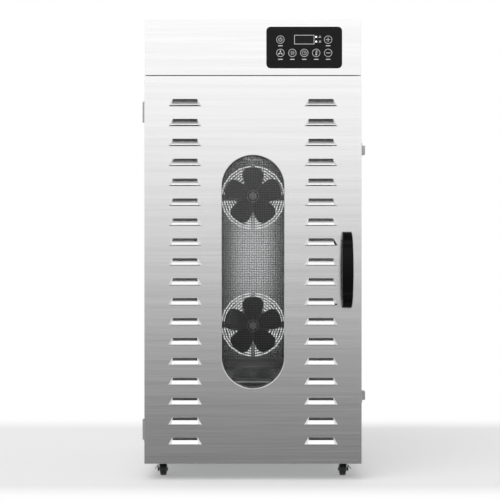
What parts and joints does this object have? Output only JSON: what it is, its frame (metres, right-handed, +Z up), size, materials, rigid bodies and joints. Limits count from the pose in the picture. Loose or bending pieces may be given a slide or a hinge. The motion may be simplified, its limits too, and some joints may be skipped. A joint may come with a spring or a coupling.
{
  "type": "food dehydrator",
  "caption": "Tall cabinet food dehydrator: brushed-steel box with a louvred door and long rounded window, bow handle, key panel, rear fans, mesh trays on ledges, swivel casters.",
  "frame": {"origin": "on the floor under the cabinet's centre line, midway between the handle's front and the gland's end", "axes": "+Z up along the tall side; the door and control panel face -Y; +X towards the handle side of the door"},
  "size_m": [0.445, 0.509, 0.912],
  "materials": {
    "brushed_sheet": "satin brushed stainless sheet",
    "inner_sheet": "dull mill-finish stainless liner",
    "zinc_sheet": "zinc-plated folded sheet",
    "wire": "welded stainless wire and flat bar",
    "bright_steel": "bright plated small parts",
    "glass": "clear tempered pane",
    "seal": "soft black gasket",
    "handle_black": "satin black moulding",
    "panel_grey": "dark grey moulding",
    "key_grey": "dark grey key caps",
    "display": "gloss black display lens",
    "board": "lacquered circuit board",
    "fan_black": "black moulded blades",
    "motor_steel": "plain motor can",
    "heater_sheath": "heat-darkened sheathed element",
    "lamp": "frosted lamp lens",
    "gland": "black nylon gland",
    "caster_steel": "zinc-plated pressing",
    "caster_wheel": "black wheel",
    "lever": "black brake pedal"
  },
  "bodies": {
    "cabinet": {"left_side_panel": "brushed_sheet", "right_side_panel": "brushed_sheet", "top_panel": "brushed_sheet", "base_pan": "zinc_sheet", "rear_panel": "brushed_sheet", "header_fascia": "brushed_sheet", "chamber_side_left": "inner_sheet", "chamber_side_right": "inner_sheet", "tray_runners_left": "inner_sheet", "tray_runners_right": "inner_sheet", "chamber_ceiling": "inner_sheet", "chamber_floor": "inner_sheet", "fan_screen": "wire", "fan_motors": "motor_steel", "motor_brackets": "zinc_sheet", "heaters": "heater_sheath", "chamber_lamp": "lamp", "cord_gland": "gland", "rear_screws": "bright_steel", "door_seal": "seal", "cabinet_hinge_leaves": "bright_steel", "hinge_pins": "bright_steel", "door_catches": "bright_steel", "control_panel": "panel_grey", "display_lens": "display", "control_board": "board", "caster_plates": "caster_steel"},
    "door": {"door_skin": "brushed_sheet", "door_inner_panel": "inner_sheet", "window_glass": "glass", "window_seal": "seal", "door_handle": "handle_black", "door_hinge_leaves": "bright_steel", "catch_strikes": "bright_steel"},
    "fan_lower": {"fan_impeller_lower": "fan_black", "fan_shaft_lower": "bright_steel"},
    "fan_upper": {"fan_impeller_upper": "fan_black", "fan_shaft_upper": "bright_steel"},
    "power_key_body": {"power_key": "key_grey"},
    "plus_key_body": {"plus_key": "key_grey"},
    "fan_key_body": {"fan_key": "key_grey"},
    "lamp_key_body": {"lamp_key": "key_grey"},
    "timer_key_body": {"timer_key": "key_grey"},
    "temperature_key_body": {"temperature_key": "key_grey"},
    "minus_key_body": {"minus_key": "key_grey"},
    "tray_bottom_body": {"tray_bottom": "wire"},
    "tray_middle_body": {"tray_middle": "wire"},
    "tray_top_body": {"tray_top": "wire"},
    "drip_tray_body": {"drip_tray": "inner_sheet"},
    "fork_front_left": {"caster_fork_front_left": "caster_steel"},
    "wheel_front_left": {"caster_wheel_front_left": "caster_wheel"},
    "fork_front_right": {"caster_fork_front_right": "caster_steel"},
    "wheel_front_right": {"caster_wheel_front_right": "caster_wheel"},
    "fork_rear_left": {"caster_fork_rear_left": "caster_steel"},
    "wheel_rear_left": {"caster_wheel_rear_left": "caster_wheel"},
    "fork_rear_right": {"caster_fork_rear_right": "caster_steel"},
    "wheel_rear_right": {"caster_wheel_rear_right": "caster_wheel"},
    "lever_front_left": {"brake_lever_front_left": "lever"},
    "lever_front_right": {"brake_lever_front_right": "lever"}
  },
  "joints": [
    {"name": "door_hinge", "type": "hinge", "parent": "cabinet", "child": "door", "pos_m": [-0.2182, -0.195, 0.415], "axis": [0, 0, -1], "range_deg": [0, 175]},
    {"name": "fan_lower_spin", "type": "hinge", "parent": "cabinet", "child": "fan_lower", "pos_m": [0, 0.19, 0.288], "axis": [0, 1, 0], "continuous": true},
    {"name": "fan_upper_spin", "type": "hinge", "parent": "cabinet", "child": "fan_upper", "pos_m": [0, 0.19, 0.588], "axis": [0, 1, 0], "continuous": true},
    {"name": "power_key_press", "type": "slide", "parent": "cabinet", "child": "power_key_body", "axis": [0, 1, 0], "range_m": [0, 0.0008], "stiffness_N_per_m": 600},
    {"name": "plus_key_press", "type": "slide", "parent": "cabinet", "child": "plus_key_body", "axis": [0, 1, 0], "range_m": [0, 0.0008], "stiffness_N_per_m": 600},
    {"name": "fan_key_press", "type": "slide", "parent": "cabinet", "child": "fan_key_body", "axis": [0, 1, 0], "range_m": [0, 0.0008], "stiffness_N_per_m": 600},
    {"name": "lamp_key_press", "type": "slide", "parent": "cabinet", "child": "lamp_key_body", "axis": [0, 1, 0], "range_m": [0, 0.0008], "stiffness_N_per_m": 600},
    {"name": "timer_key_press", "type": "slide", "parent": "cabinet", "child": "timer_key_body", "axis": [0, 1, 0], "range_m": [0, 0.0008], "stiffness_N_per_m": 600},
    {"name": "temperature_key_press", "type": "slide", "parent": "cabinet", "child": "temperature_key_body", "axis": [0, 1, 0], "range_m": [0, 0.0008], "stiffness_N_per_m": 600},
    {"name": "minus_key_press", "type": "slide", "parent": "cabinet", "child": "minus_key_body", "axis": [0, 1, 0], "range_m": [0, 0.0008], "stiffness_N_per_m": 600},
    {"name": "tray_bottom_slide", "type": "slide", "parent": "cabinet", "child": "tray_bottom_body", "axis": [0, -1, 0], "range_m": [0, 0.008]},
    {"name": "tray_middle_slide", "type": "slide", "parent": "cabinet", "child": "tray_middle_body", "axis": [0, -1, 0], "range_m": [0, 0.008]},
    {"name": "tray_top_slide", "type": "slide", "parent": "cabinet", "child": "tray_top_body", "axis": [0, -1, 0], "range_m": [0, 0.008]},
    {"name": "drip_tray_slide", "type": "slide", "parent": "cabinet", "child": "drip_tray_body", "axis": [0, -1, 0], "range_m": [0, 0.008]},
    {"name": "swivel_front_left", "type": "hinge", "parent": "cabinet", "child": "fork_front_left", "pos_m": [-0.182, -0.162, 0.03], "axis": [0, 0, 1], "continuous": true},
    {"name": "roll_front_left", "type": "hinge", "parent": "fork_front_left", "child": "wheel_front_left", "pos_m": [-0.182, -0.154, 0.0125], "axis": [1, 0, 0], "continuous": true},
    {"name": "brake_front_left", "type": "hinge", "parent": "fork_front_left", "child": "lever_front_left", "pos_m": [-0.182, -0.154, 0.0125], "axis": [1, 0, 0], "range_deg": [0, 20]},
    {"name": "swivel_front_right", "type": "hinge", "parent": "cabinet", "child": "fork_front_right", "pos_m": [0.182, -0.162, 0.03], "axis": [0, 0, 1], "continuous": true},
    {"name": "roll_front_right", "type": "hinge", "parent": "fork_front_right", "child": "wheel_front_right", "pos_m": [0.182, -0.154, 0.0125], "axis": [1, 0, 0], "continuous": true},
    {"name": "brake_front_right", "type": "hinge", "parent": "fork_front_right", "child": "lever_front_right", "pos_m": [0.182, -0.154, 0.0125], "axis": [1, 0, 0], "range_deg": [0, 20]},
    {"name": "swivel_rear_left", "type": "hinge", "parent": "cabinet", "child": "fork_rear_left", "pos_m": [-0.182, 0.208, 0.03], "axis": [0, 0, 1], "continuous": true},
    {"name": "roll_rear_left", "type": "hinge", "parent": "fork_rear_left", "child": "wheel_rear_left", "pos_m": [-0.182, 0.216, 0.0125], "axis": [1, 0, 0], "continuous": true},
    {"name": "swivel_rear_right", "type": "hinge", "parent": "cabinet", "child": "fork_rear_right", "pos_m": [0.182, 0.208, 0.03], "axis": [0, 0, 1], "continuous": true},
    {"name": "roll_rear_right", "type": "hinge", "parent": "fork_rear_right", "child": "wheel_rear_right", "pos_m": [0.182, 0.216, 0.0125], "axis": [1, 0, 0], "continuous": true}
  ]
}
